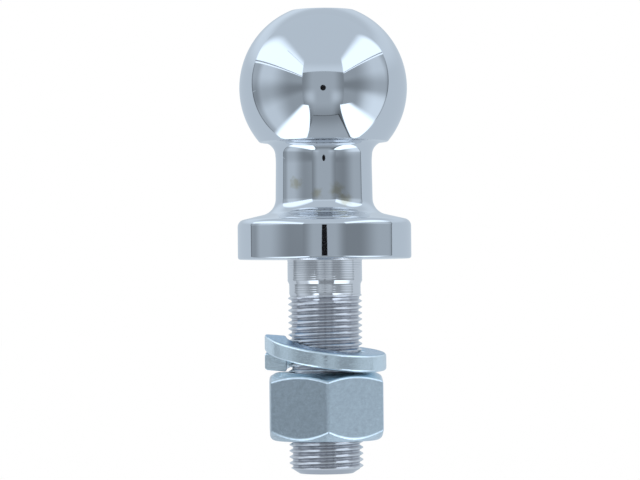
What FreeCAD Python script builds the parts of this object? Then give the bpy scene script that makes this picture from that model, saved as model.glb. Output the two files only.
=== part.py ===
import FreeCAD, Part

import math
import os

import Sketcher

# Ball mount of a trailer hitch: a one-piece ball stud, a split spring washer and a hexagon nut.
# Millimetres. +Z runs up the stud's axis, -Y faces the viewer, and +X is to the viewer's right.
# The origin is on the axis, in the plane of the flange's seating face, which lies on the drawbar.

SIZES = {
    # Ball and neck
    "ball_diameter": 50.0,
    "ball_centre_height": 51.0,
    "ball_flat_diameter": 19.0,
    "ball_skirt_ledge": 0.73,
    "ball_skirt_rounding": 0.5,
    "neck_diameter": 28.8,
    "neck_top_fillet": 4.0,
    "neck_foot_fillet": 4.9,
    # Flange
    "flange_diameter": 51.7,
    "flange_rim_height": 11.45,
    "flange_slope": 13.0,
    "flange_top_rounding": 2.2,
    "flange_bottom_rounding": 0.7,
    # Shank
    "shank_length": 63.7,
    "shoulder_diameter": 22.225,
    "shoulder_length": 6.4,
    "shoulder_fillet": 0.5,
    "relief_diameter": 21.3,
    "relief_taper_length": 1.05,
    "relief_end_depth": 10.15,
    "end_chamfer_width": 3.0,
    "end_chamfer_height": 1.9,
    # Screw thread, as measured on the stud, and the slack that the nut's thread has around it
    "thread_diameter": 22.0,
    "thread_pitch": 1.8143,
    "thread_depth": 1.05,
    "thread_crest_width": 0.23,
    "thread_flank_angle": 30.0,
    "thread_slack": 0.16,
    "thread_lift": 0.35,
    "cutter_overrun": 0.1,
    # Spring washer, as it lies relaxed on the nut
    "washer_outer_diameter": 36.2,
    "washer_bore_diameter": 23.1,
    "washer_thickness": 5.0,
    "washer_pitch": 6.0,
    "washer_split_angle": 3.0,
    "washer_edge_rounding": 0.8,
    "washer_side_lean": 1.6,
    "washer_front_lean": 2.4,
    "washer_seat_gap": 0.05,
    # Nut
    "nut_top_depth": 33.6,
    "nut_height": 20.3,
    "nut_across_flats": 33.34,
    "nut_twist": 2.0,
    "nut_corner_rounding": 0.6,
    "nut_face_diameter": 31.2,
    "nut_chamfer_angle": 39.0,
    "nut_countersink": 1.3,
}

UP = FreeCAD.Vector(0, 0, 1)
FULL_TURN = 360.0
CORNERS_OF_A_HEXAGON = 6
PAST_THE_SOLID = 1.0
PARTS_FOLDER = "parts"

model = FreeCAD.newDocument("hitch_ball")


def fill_sheet():
    """Write every driving size to the sheet, one row each, under its own alias."""
    sheet = model.addObject("Spreadsheet::Sheet", "Sizes")
    for row, (alias, size) in enumerate(SIZES.items(), start=1):
        sheet.set(f"A{row}", alias)
        sheet.set(f"B{row}", str(size))
        sheet.setAlias(f"B{row}", alias)
    model.recompute()
    return sheet


sizes = fill_sheet()


def amount(expression):
    """The number that an expression on the sheet's aliases comes to."""
    answer = sizes.evalExpression(expression)
    return float(getattr(answer, "Value", answer))


def bind(thing, settings):
    """Tie properties of a feature to expressions on the sheet's aliases."""
    for name, expression in settings.items():
        thing.setExpression(name, expression)


def plane_sketch(body, name, role, lift=None, turn=None):
    """A sketch on one of the body's own origin planes, lifted off it and turned in it on request."""
    sketch = body.newObject("Sketcher::SketchObject", name)
    plane = next(feature for feature in body.Origin.OriginFeatures if feature.Role == role)
    sketch.AttachmentSupport = (plane, [""])
    sketch.MapMode = "FlatFace"
    if lift is not None:
        sketch.setExpression("AttachmentOffset.Base.z", lift)
    if turn is not None:
        sketch.AttachmentOffset = FreeCAD.Placement(FreeCAD.Vector(), FreeCAD.Rotation(UP, 1.0))
        sketch.setExpression("AttachmentOffset.Rotation.Angle", turn)
    return sketch


def arc_between(start, end, radius):
    """The short arc that runs anticlockwise from start to end."""
    chord = end - start
    sagitta_arm = math.sqrt(radius**2 - (chord.Length / 2) ** 2)
    across = FreeCAD.Vector(-chord.y, chord.x, 0).normalize()
    centre = start + chord / 2 + across * sagitta_arm
    first = math.atan2(start.y - centre.y, start.x - centre.x)
    last = math.atan2(end.y - centre.y, end.x - centre.x)
    return Part.ArcOfCircle(Part.Circle(centre, UP, radius), first, last)


def tie(sketch, kind, elements, expression):
    """Add a sketch dimension whose value is an expression on the sheet's aliases."""
    index = sketch.addConstraint(Sketcher.Constraint(kind, *elements, amount(expression)))
    name = f"size_{index}"
    sketch.renameConstraint(index, name)
    sketch.setExpression(f"Constraints.{name}", expression)


def draw_outline(sketch, corners, arcs=None):
    """Draw one closed outline, anticlockwise, and tie its corners and arcs to the sheet.

    corners are pairs of expressions. arcs gives, for a corner's number, the radius of the arc that
    leaves it. A corner whose first expression is "0" lies on the upright axis.
    """
    arcs = arcs or {}
    places = [FreeCAD.Vector(amount(x), amount(y), 0) for x, y in corners]
    following = places[1:] + places[:1]
    base = sketch.GeometryCount
    for number, (start, end) in enumerate(zip(places, following)):
        if number in arcs:
            sketch.addGeometry(arc_between(start, end, amount(arcs[number])), False)
        else:
            sketch.addGeometry(Part.LineSegment(start, end), False)
    for number, (x, y) in enumerate(corners):
        edge = base + number
        after = base + (number + 1) % len(corners)
        sketch.addConstraint(Sketcher.Constraint("Coincident", edge, 2, after, 1))
        if x == "0":
            sketch.addConstraint(Sketcher.Constraint("PointOnObject", edge, 1, -2))
        else:
            tie(sketch, "DistanceX", (-1, 1, edge, 1), x)
        tie(sketch, "DistanceY", (-1, 1, edge, 1), y)
        if number in arcs:
            tie(sketch, "Radius", (edge,), arcs[number])


def draw_circle(sketch, radius):
    """Draw a circle about the sketch's origin."""
    edge = sketch.addGeometry(Part.Circle(FreeCAD.Vector(), UP, amount(radius)), False)
    sketch.addConstraint(Sketcher.Constraint("Coincident", edge, 3, -1, 1))
    tie(sketch, "Radius", (edge,), radius)


def add_feature(body, kind, name, sketch):
    """Add a sketch-based feature to the body, about or along the sketch's upright axis."""
    feature = body.newObject(f"PartDesign::{kind}", name)
    feature.Profile = (sketch, [""])
    if kind in ("Revolution", "Groove"):
        feature.ReferenceAxis = (sketch, ["V_Axis"])
        feature.Angle = FULL_TURN
    model.recompute()
    return feature


def ring_edge(shape, radius, height):
    """The name of the round edge of this radius about the axis, at this height."""
    slack = 1e-3
    for number, edge in enumerate(shape.Edges, start=1):
        curve = edge.Curve
        if not isinstance(curve, Part.Circle):
            continue
        if abs(curve.Radius - radius) < slack and abs(curve.Center.z - height) < slack:
            return f"Edge{number}"
    raise ValueError(f"no round edge of radius {radius:.3f} at height {height:.3f}")


def upright_edges(shape):
    """The names of the straight edges that run along the axis."""
    names = []
    for number, edge in enumerate(shape.Edges, start=1):
        if isinstance(edge.Curve, Part.Line) and abs(edge.tangentAt(0).z) > 0.999:
            names.append(f"Edge{number}")
    return names


def dress_edges(body, kind, name, edges, size):
    """Fillet or chamfer named edges of the body's latest feature."""
    base = body.Tip
    feature = body.newObject(f"PartDesign::{kind}", name)
    feature.Base = (base, edges)
    feature.setExpression("Radius" if kind == "Fillet" else "Size", size)
    model.recompute()
    return feature


def dress_ring(body, kind, name, radius, height, size):
    """Fillet or chamfer the one round edge at a radius and height, both given as expressions."""
    edge = ring_edge(body.Shape, amount(radius), amount(height))
    return dress_edges(body, kind, name, [edge], size)


def cut_helix(body, name, sketch, height):
    """Cut a right-hand screw groove of the thread's pitch, upwards from the sketch."""
    volume = body.Shape.Volume
    helix = body.newObject("PartDesign::SubtractiveHelix", name)
    helix.Profile = (sketch, [""])
    helix.ReferenceAxis = (sketch, ["V_Axis"])
    helix.Mode = "pitch-height-angle"
    bind(helix, {"Pitch": "Sizes.thread_pitch", "Height": height})
    model.recompute()
    if not body.Shape.Volume < volume:
        raise ValueError(f"{name} cuts nothing")
    return helix


def groove_outline(inner, outer, inner_half, outer_half, middle):
    """The four corners of a thread groove's section, from its two radii and half widths."""
    return [
        (inner, f"{middle} - {inner_half}"),
        (outer, f"{middle} - {outer_half}"),
        (outer, f"{middle} + {outer_half}"),
        (inner, f"{middle} + {inner_half}"),
    ]


def build_ball_stud():
    """Ball, neck, flange, shoulder and threaded shank, turned from one forging."""
    body = model.addObject("PartDesign::Body", "ball_stud")
    sketch = plane_sketch(body, "stud_outline", "XZ_Plane")
    thread_radius = "Sizes.thread_diameter / 2"
    relief_radius = "Sizes.relief_diameter / 2"
    shoulder_radius = "Sizes.shoulder_diameter / 2"
    flange_radius = "Sizes.flange_diameter / 2"
    neck_radius = "Sizes.neck_diameter / 2"
    ball_radius = "Sizes.ball_diameter / 2"
    shank_end = "-Sizes.shank_length"
    relief_end = "-Sizes.relief_end_depth"
    crown = (
        "Sizes.flange_rim_height"
        f" + ({flange_radius} - {neck_radius}) * tan(Sizes.flange_slope * 1 deg)"
    )
    skirt_radius = f"({neck_radius} + Sizes.neck_top_fillet + Sizes.ball_skirt_ledge)"
    underside = f"Sizes.ball_centre_height - sqrt(({ball_radius})^2 - {skirt_radius}^2)"
    flat_radius = "(Sizes.ball_flat_diameter / 2)"
    flat = f"Sizes.ball_centre_height + sqrt(({ball_radius})^2 - {flat_radius}^2)"
    lead_in = f"{relief_end} - ({thread_radius} - {relief_radius})"
    corners = [
        ("0", shank_end),
        (f"{thread_radius} - Sizes.end_chamfer_width", shank_end),
        (thread_radius, f"{shank_end} + Sizes.end_chamfer_height"),
        (thread_radius, lead_in),
        (relief_radius, relief_end),
        (relief_radius, "-Sizes.shoulder_length - Sizes.relief_taper_length"),
        (shoulder_radius, "-Sizes.shoulder_length"),
        (shoulder_radius, "0 * Sizes.shoulder_length"),
        (flange_radius, "0 * Sizes.shoulder_length"),
        (flange_radius, "Sizes.flange_rim_height"),
        (neck_radius, crown),
        (neck_radius, underside),
        (skirt_radius, underside),
        (flat_radius, flat),
        ("0", flat),
    ]
    skirt = 12
    draw_outline(sketch, corners, {skirt: ball_radius})
    add_feature(body, "Revolution", "stud_blank", sketch)
    dress_ring(body, "Fillet", "neck_top", neck_radius, underside, "Sizes.neck_top_fillet")
    dress_ring(body, "Fillet", "neck_foot", neck_radius, crown, "Sizes.neck_foot_fillet")
    dress_ring(body, "Fillet", "ball_skirt", skirt_radius, underside, "Sizes.ball_skirt_rounding")
    rim = "Sizes.flange_rim_height"
    dress_ring(body, "Fillet", "flange_top", flange_radius, rim, "Sizes.flange_top_rounding")
    dress_ring(body, "Fillet", "flange_bottom", flange_radius, "0", "Sizes.flange_bottom_rounding")
    dress_ring(body, "Fillet", "shoulder_top", shoulder_radius, "0", "Sizes.shoulder_fillet")
    cut_stud_thread(body)
    return body


def cut_stud_thread(body):
    """The stud's thread, from past the shank's end up to the relief.

    A groove's middle crosses the +X side half a pitch and the thread's lift above the shank's end.
    """
    slope = "tan(Sizes.thread_flank_angle * 1 deg)"
    root = "(Sizes.thread_diameter / 2 - Sizes.thread_depth)"
    half_crest = "(Sizes.thread_pitch - Sizes.thread_crest_width) / 2"
    root_half = f"({half_crest} - Sizes.thread_depth * {slope})"
    outer = "(Sizes.thread_diameter / 2 + Sizes.cutter_overrun)"
    outer_half = f"({half_crest} + Sizes.cutter_overrun * {slope})"
    start = "(-Sizes.shank_length - 1.5 * Sizes.thread_pitch + Sizes.thread_lift)"
    height = "Sizes.shank_length - Sizes.relief_end_depth + Sizes.thread_pitch - Sizes.thread_lift"
    sketch = plane_sketch(body, "stud_thread_groove", "XZ_Plane")
    draw_outline(sketch, groove_outline(root, outer, root_half, outer_half, start))
    cut_helix(body, "stud_thread", sketch, height)


def build_washer():
    """A ring of square bar coiled one turn to the left, leaning as it rests on the nut.

    The coil starts at -X, runs round the back, the right and the front, and ends above its start.
    Leaning lifts each point in proportion to its place across the axis, so the walls stay upright.
    """
    coil = model.addObject("PartDesign::Body", "washer_coil")
    sketch = plane_sketch(coil, "washer_section", "XZ_Plane")
    outside = "-Sizes.washer_outer_diameter / 2"
    inside = "-Sizes.washer_bore_diameter / 2"
    bottom = "0 * Sizes.washer_thickness"
    top = "Sizes.washer_thickness"
    rounding = "Sizes.washer_edge_rounding"
    corners = [
        (f"{outside} + {rounding}", bottom),
        (f"{inside} - {rounding}", bottom),
        (inside, f"{bottom} + {rounding}"),
        (inside, f"{top} - {rounding}"),
        (f"{inside} - {rounding}", top),
        (f"{outside} + {rounding}", top),
        (outside, f"{top} - {rounding}"),
        (outside, f"{bottom} + {rounding}"),
    ]
    draw_outline(sketch, corners, {number: rounding for number in (1, 3, 5, 7)})
    helix = coil.newObject("PartDesign::AdditiveHelix", "washer_turn")
    helix.Profile = (sketch, [""])
    helix.ReferenceAxis = (sketch, ["V_Axis"])
    helix.Mode = "pitch-height-angle"
    helix.LeftHanded = True
    rise = "Sizes.washer_pitch * (1 - Sizes.washer_split_angle / 360)"
    bind(helix, {"Pitch": "Sizes.washer_pitch", "Height": rise})
    model.recompute()

    outer_radius = amount("Sizes.washer_outer_diameter / 2")
    lean = FreeCAD.Matrix()
    lean.A31 = -amount("Sizes.washer_side_lean") / outer_radius
    lean.A32 = amount("Sizes.washer_front_lean") / outer_radius
    washer = model.addObject("Part::Feature", "spring_washer")
    washer.Shape = coil.Shape.transformGeometry(lean)
    lowest = washer.Shape.optimalBoundingBox().ZMin
    height = amount("-Sizes.nut_top_depth + Sizes.washer_seat_gap") - lowest
    washer.Placement = FreeCAD.Placement(FreeCAD.Vector(0, 0, height), FreeCAD.Rotation())
    return washer


def build_nut():
    """Hexagon nut with both ends turned to a chamfer, and a tapped, countersunk bore."""
    body = model.addObject("PartDesign::Body", "hex_nut")
    top = "-Sizes.nut_top_depth"
    bottom = "-Sizes.nut_top_depth - Sizes.nut_height"
    corner_radius = "Sizes.nut_across_flats / sqrt(3)"
    step = FULL_TURN / CORNERS_OF_A_HEXAGON
    turn = f"(Sizes.nut_twist + {step / 2}) * 1 deg"
    sketch = plane_sketch(body, "nut_hexagon", "XY_Plane", bottom, turn)
    angles = [f"({step * number} deg)" for number in range(CORNERS_OF_A_HEXAGON)]
    corners = [(f"{corner_radius} * cos{angle}", f"{corner_radius} * sin{angle}") for angle in angles]
    draw_outline(sketch, corners)
    blank = add_feature(body, "Pad", "nut_blank", sketch)
    blank.setExpression("Length", "Sizes.nut_height")
    model.recompute()
    dress_edges(body, "Fillet", "nut_corners", upright_edges(body.Shape), "Sizes.nut_corner_rounding")

    bore_radius = "(Sizes.thread_diameter / 2 - Sizes.thread_depth + Sizes.thread_slack)"
    hole = plane_sketch(body, "nut_bore_circle", "XY_Plane", top)
    draw_circle(hole, bore_radius)
    bore = add_feature(body, "Pocket", "nut_bore", hole)
    bore.Type = "ThroughAll"
    model.recompute()
    for name, height in (("nut_mouth_top", top), ("nut_mouth_bottom", bottom)):
        dress_ring(body, "Chamfer", name, bore_radius, height, "Sizes.nut_countersink")
    chamfer_nut_ends(body, top, bottom, corner_radius)
    cut_nut_thread(body, bore_radius, bottom)
    return body


def chamfer_nut_ends(body, top, bottom, corner_radius):
    """Turn both ends down to a round face with a cone around it."""
    face_radius = "Sizes.nut_face_diameter / 2"
    past_corner = f"({corner_radius} + {PAST_THE_SOLID})"
    drop = f"({past_corner} - {face_radius}) * tan(Sizes.nut_chamfer_angle * 1 deg)"
    sketch = plane_sketch(body, "nut_chamfer_section", "XZ_Plane")
    above = [
        (face_radius, top),
        (past_corner, f"{top} - {drop}"),
        (past_corner, f"{top} + {PAST_THE_SOLID}"),
        (face_radius, f"{top} + {PAST_THE_SOLID}"),
    ]
    below = [
        (face_radius, bottom),
        (face_radius, f"{bottom} - {PAST_THE_SOLID}"),
        (past_corner, f"{bottom} - {PAST_THE_SOLID}"),
        (past_corner, f"{bottom} + {drop}"),
    ]
    draw_outline(sketch, above)
    draw_outline(sketch, below)
    volume = body.Shape.Volume
    add_feature(body, "Groove", "nut_chamfers", sketch)
    if not body.Shape.Volume < volume:
        raise ValueError("the nut's chamfers cut nothing")


def cut_nut_thread(body, bore_radius, bottom):
    """The nut's thread, whose grooves take the stud's ridges with the same slack all round.

    A ridge of the stud crosses the +X side at the thread's lift above the shank's end and at each
    pitch above that.
    """
    slope = "tan(Sizes.thread_flank_angle * 1 deg)"
    outer = "(Sizes.thread_diameter / 2 + Sizes.thread_slack)"
    outer_half = "(Sizes.thread_crest_width / 2)"
    inner = f"({bore_radius} - Sizes.cutter_overrun)"
    inner_half = f"({outer_half} + (Sizes.thread_depth + Sizes.cutter_overrun) * {slope})"
    pitches_below = f"floor(({bottom} + Sizes.shank_length) / Sizes.thread_pitch - 1)"
    start = f"({pitches_below} * Sizes.thread_pitch - Sizes.shank_length + Sizes.thread_lift)"
    height = "Sizes.nut_height + 3 * Sizes.thread_pitch"
    sketch = plane_sketch(body, "nut_thread_groove", "XZ_Plane")
    draw_outline(sketch, groove_outline(inner, outer, inner_half, outer_half, start))
    cut_helix(body, "nut_thread", sketch, height)


def check_model(pieces):
    """Stop if a feature failed or a piece is not one sound solid."""
    for thing in model.Objects:
        if {"Invalid", "Error"} & set(thing.State):
            raise ValueError(f"{thing.Label} failed: {thing.State}")
    for piece in pieces:
        shape = piece.Shape
        if shape.isNull() or not shape.isValid() or len(shape.Solids) != 1:
            raise ValueError(f"{piece.Label} is not one sound solid")


def write_pieces(pieces):
    """Write each piece to its own file, named after its label."""
    os.makedirs(PARTS_FOLDER, exist_ok=True)
    for piece in pieces:
        box = piece.Shape.optimalBoundingBox()
        print(f"{piece.Label}: {piece.Shape.Volume:.1f} mm3, z {box.ZMin:.2f} to {box.ZMax:.2f}")
        piece.Shape.exportStep(os.path.join(PARTS_FOLDER, f"{piece.Label}.step"))


PIECES = [build_ball_stud(), build_nut(), build_washer()]
model.recompute()
check_model(PIECES)
write_pieces(PIECES)
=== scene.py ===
"""Looks of a hitch's ball mount: chromed ball stud, split spring washer and hexagon nut.

Metres. +Z runs up the stud's axis, -Y faces the viewer, and +X is to the viewer's right. The origin is on the
axis, in the plane of the flange's seating face.
"""

from __future__ import annotations

import logging
import math
from contextlib import contextmanager
from dataclasses import dataclass
from enum import Enum
from typing import Callable, Iterator, Sequence

import bpy
from mathutils import Matrix, Vector

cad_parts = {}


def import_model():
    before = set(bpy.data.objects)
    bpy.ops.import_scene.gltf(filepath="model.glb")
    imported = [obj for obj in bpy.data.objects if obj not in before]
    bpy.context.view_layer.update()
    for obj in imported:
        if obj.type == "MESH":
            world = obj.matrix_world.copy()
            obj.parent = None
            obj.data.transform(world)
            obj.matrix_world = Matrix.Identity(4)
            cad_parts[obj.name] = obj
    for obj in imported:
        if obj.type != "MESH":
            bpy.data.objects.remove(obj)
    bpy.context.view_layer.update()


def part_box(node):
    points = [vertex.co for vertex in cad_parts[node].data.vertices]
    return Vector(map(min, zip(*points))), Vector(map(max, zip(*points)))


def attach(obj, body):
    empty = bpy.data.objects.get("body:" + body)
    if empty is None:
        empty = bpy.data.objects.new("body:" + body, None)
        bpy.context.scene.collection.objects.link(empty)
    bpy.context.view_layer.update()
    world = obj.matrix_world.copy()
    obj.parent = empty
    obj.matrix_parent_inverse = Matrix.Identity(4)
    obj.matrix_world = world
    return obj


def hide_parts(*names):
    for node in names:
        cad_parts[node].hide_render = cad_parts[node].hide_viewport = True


log = logging.getLogger("hitch_ball")

MM = 0.001
FULL_TURN = 2 * math.pi
Z_AXIS = (0.0, 0.0, 1.0)
WELD = 1e-6
THREAD_CREST = -63.35 * MM
THREAD_PITCH = 1.8143 * MM

Colour = tuple[float, float, float, float]
Span = tuple[float, float]

CHROME: Colour = (0.74, 0.76, 0.79, 1.0)
SHANK_CHROME: Colour = (0.80, 0.79, 0.80, 1.0)
ZINC: Colour = (0.76, 0.86, 0.93, 1.0)
BRIGHT_ZINC: Colour = (0.84, 0.94, 0.99, 1.0)
# Darker, bluer copy of the washer's zinc, painted on its upper faces as shade.
TOP_SHADE_ZINC: Colour = (0.34, 0.52, 0.70, 1.0)
WHITE: Colour = (1.0, 1.0, 1.0, 1.0)
LENS_BLACK: Colour = (0.012, 0.012, 0.014, 1.0)


class Slot(Enum):
    """The record's material slots."""

    CHROMED_STEEL = "chromed_steel"
    PLATED_WASHER = "plated_washer"
    PLATED_NUT = "plated_nut"


class Cut(Enum):
    """What a boolean does with its tool."""

    TAKE_AWAY = "DIFFERENCE"
    JOIN = "UNION"
    KEEP_INSIDE = "INTERSECT"


@dataclass(frozen=True)
class Corner:
    """One corner of a turned outline.

    Args:
        radius: Distance from the axis.
        height: Height above the flange's seat.
        rounding: Radius of the corner's rounding, 0 for a sharp corner.
        steps: Number of straight pieces in the rounding.
    """

    radius: float
    height: float
    rounding: float = 0.0
    steps: int = 6

    def place(self) -> Vector:
        """The corner as a point of the outline's plane."""
        return Vector((self.radius, self.height))


def rounded_outline(corners: Sequence[Corner]) -> list[Vector]:
    """Work out an outline's points, with an arc in place of each rounded corner.

    Args:
        corners: The corners, in order along the outline.

    Returns:
        Points as pairs of radius and height.
    """
    points: list[Vector] = []
    last = len(corners) - 1
    for number, corner in enumerate(corners):
        here = corner.place()
        if not corner.rounding or number in (0, last):
            points.append(here)
            continue
        back = (corners[number - 1].place() - here).normalized()
        ahead = (corners[number + 1].place() - here).normalized()
        half = back.angle(ahead) / 2
        middle = here + (back + ahead).normalized() * (corner.rounding / math.sin(half))
        first = here + back * (corner.rounding / math.tan(half)) - middle
        turn = first.angle_signed(here + ahead * (corner.rounding / math.tan(half)) - middle)
        for step in range(corner.steps + 1):
            spoke = first.copy()
            spoke.rotate(Matrix.Rotation(-turn * step / corner.steps, 2))
            points.append(middle + spoke)
    return points


def select_only(piece: bpy.types.Object) -> None:
    """Select one object alone and make it active."""
    bpy.ops.object.select_all(action="DESELECT")
    piece.select_set(True)
    bpy.context.view_layer.objects.active = piece


@contextmanager
def editing(piece: bpy.types.Object) -> Iterator[None]:
    """Hold a piece in edit mode with all of it selected.

    Args:
        piece: The mesh object to edit.
    """
    select_only(piece)
    bpy.ops.object.mode_set(mode="EDIT")
    bpy.ops.mesh.select_mode(type="VERT")
    bpy.ops.mesh.select_all(action="SELECT")
    try:
        yield
    finally:
        bpy.ops.object.mode_set(mode="OBJECT")


def pick(piece: bpy.types.Object, kind: str, wanted: Callable[[Vector, Vector], bool]) -> None:
    """Select the vertices, edges or faces of a piece in edit mode by their place.

    Args:
        piece: The piece, which is in edit mode.
        kind: "VERT", "EDGE" or "FACE".
        wanted: Takes an element's middle and its direction (an edge's run or a face's normal).
    """
    bpy.ops.mesh.select_mode(type=kind)
    bpy.ops.mesh.select_all(action="DESELECT")
    bpy.ops.object.mode_set(mode="OBJECT")
    mesh = piece.data
    if kind == "FACE":
        for face in mesh.polygons:
            face.select = wanted(face.center, face.normal)
    elif kind == "EDGE":
        for edge in mesh.edges:
            start, end = (mesh.vertices[index].co for index in edge.vertices)
            edge.select = wanted((start + end) / 2, (end - start).normalized())
    else:
        for vertex in mesh.vertices:
            vertex.select = wanted(vertex.co, vertex.normal)
    bpy.ops.object.mode_set(mode="EDIT")


def apply_modifier(piece: bpy.types.Object, kind: str, **settings: object) -> None:
    """Add a modifier, set it and apply it.

    Args:
        piece: The mesh object.
        kind: Blender's name for the modifier.
        settings: The modifier's settings by name.
    """
    select_only(piece)
    modifier = piece.modifiers.new(kind.title(), kind)
    for name, value in settings.items():
        setattr(modifier, name, value)
    bpy.ops.object.modifier_apply(modifier=modifier.name)


def use_tool(piece: bpy.types.Object, tool: bpy.types.Object, cut: Cut) -> None:
    """Cut or join a piece with a tool body, and throw the tool away."""
    apply_modifier(piece, "BOOLEAN", object=tool, operation=cut.value, solver="EXACT")
    bpy.data.objects.remove(tool)


def trace_outline(name: str, points: Sequence[Vector]) -> bpy.types.Object:
    """Draw an open wire in the XZ plane by extruding one vertex from point to point.

    Args:
        name: The new object's name.
        points: Pairs of radius and height.

    Returns:
        The wire object, at the origin.
    """
    bpy.ops.object.select_all(action="DESELECT")
    bpy.ops.mesh.primitive_plane_add(size=MM)
    wire = bpy.context.object
    wire.name = wire.data.name = name
    start = points[0]
    with editing(wire):
        bpy.ops.mesh.merge(type="CENTER")
        bpy.ops.transform.translate(value=(start.x, 0, start.y))
        for here, there in zip(points, points[1:]):
            step = (there.x - here.x, 0, there.y - here.y)
            bpy.ops.mesh.extrude_vertices_move(TRANSFORM_OT_translate={"value": step})
    return wire


def close_up(piece: bpy.types.Object) -> None:
    """Weld a piece's seams and poles and turn its faces outwards."""
    with editing(piece):
        bpy.ops.mesh.remove_doubles(threshold=WELD)
        bpy.ops.mesh.normals_make_consistent(inside=False)


def knit(piece: bpy.types.Object) -> None:
    """Close the hairline cracks that a cut leaves where two skins cross at a very flat angle."""
    widest_crack = 20 * WELD
    with editing(piece):
        bpy.ops.mesh.select_all(action="DESELECT")
        bpy.ops.mesh.select_non_manifold()
        bpy.ops.mesh.remove_doubles(threshold=widest_crack)
        bpy.ops.mesh.select_all(action="DESELECT")
        bpy.ops.mesh.select_non_manifold()
        bpy.ops.mesh.edge_collapse()
        bpy.ops.mesh.select_all(action="SELECT")
        bpy.ops.mesh.dissolve_degenerate(threshold=WELD)


def turn_on_lathe(name: str, corners: Sequence[Corner], steps: int) -> bpy.types.Object:
    """Turn a solid about the axis from its outline.

    Args:
        name: The new object's name.
        corners: The outline, from the axis at the bottom to the axis at the top.
        steps: Number of facets around.

    Returns:
        The closed solid.
    """
    piece = trace_outline(name, rounded_outline(corners))
    with editing(piece):
        bpy.ops.mesh.spin(steps=steps, angle=FULL_TURN, center=(0, 0, 0), axis=Z_AXIS)
    close_up(piece)
    return piece


def finish_surface(piece: bpy.types.Object, sharp_over: float = 32.0) -> None:
    """Shade a piece smooth up to an angle, with flats kept flat beside their roundings.

    Args:
        piece: The mesh object.
        sharp_over: Edges that turn by more than this many degrees stay sharp.
    """
    select_only(piece)
    bpy.ops.object.shade_smooth_by_angle(angle=math.radians(sharp_over))
    apply_modifier(piece, "WEIGHTED_NORMAL", mode="FACE_AREA", weight=50, keep_sharp=True)


def hand_over(piece: bpy.types.Object, body: str, material: bpy.types.Material) -> None:
    """Give a finished piece its material, body and slot, and report it.

    Args:
        piece: The finished piece.
        body: The CAD body it moves with, whose node it replaces.
        material: Its finish.
    """
    piece.data.materials.clear()
    piece.data.materials.append(material)
    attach(piece, body)
    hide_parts(body)
    triangles = sum(len(face.vertices) - 2 for face in piece.data.polygons)
    log.info("%s rides on %s, %d triangles", piece.name, body, triangles)


@dataclass(frozen=True)
class ScrewForm:
    """A screw thread's form, for the stud and, with slack, for the tap that cuts the nut.

    Args:
        crest_radius: Radius over the crests.
        root_radius: Radius in the grooves.
        crest_width: Width of a crest's flat.
        pitch: Rise in one turn.
        flank_angle: Lean of each flank from square, in degrees.
        crest_height: A height at which a crest crosses the +X side.
        easing: Radius of the rounding at crest and root.
    """

    crest_radius: float
    root_radius: float
    crest_width: float = 0.23 * MM
    pitch: float = THREAD_PITCH
    flank_angle: float = 30.0
    crest_height: float = THREAD_CREST
    easing: float = 0.17 * MM

    def outline(self, start: float) -> list[Vector]:
        """Trace one pitch of the thread, from the middle of a crest to the middle of the next.

        Args:
            start: Height of the first crest's middle.

        Returns:
            The outline's points.
        """
        depth = self.crest_radius - self.root_radius
        crest = self.crest_width / 2
        root = crest + depth * math.tan(math.radians(self.flank_angle))
        easing = {"rounding": self.easing, "steps": 3}
        return rounded_outline(
            [
                Corner(self.crest_radius, start),
                Corner(self.crest_radius, start + crest, **easing),
                Corner(self.root_radius, start + root, **easing),
                Corner(self.root_radius, start + self.pitch - root, **easing),
                Corner(self.crest_radius, start + self.pitch - crest, **easing),
                Corner(self.crest_radius, start + self.pitch),
            ]
        )

    def rod(self, name: str, low: float, high: float, steps: int = 72) -> bpy.types.Object:
        """A closed threaded rod between two heights.

        Args:
            name: The new object's name.
            low: Height of the rod's lower end.
            high: Height of its upper end.
            steps: Number of facets in one turn.

        Returns:
            The rod.
        """
        below = math.ceil((self.crest_height - low) / self.pitch) + 2
        start = self.crest_height - below * self.pitch
        turns = math.ceil((high - start) / self.pitch) + 1
        rod = trace_outline(name, self.outline(start))
        apply_modifier(
            rod,
            "SCREW",
            axis="Z",
            angle=FULL_TURN,
            screw_offset=self.pitch,
            iterations=turns,
            steps=steps,
            render_steps=steps,
            use_merge_vertices=True,
            merge_threshold=WELD,
        )
        with editing(rod):
            bpy.ops.mesh.remove_doubles(threshold=WELD)
            for height, up in ((low, -1.0), (high, 1.0)):
                bpy.ops.mesh.select_all(action="SELECT")
                bpy.ops.mesh.bisect(
                    plane_co=(0, 0, height), plane_no=(0, 0, up), use_fill=True, clear_outer=True
                )
        close_up(rod)
        return rod


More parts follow.
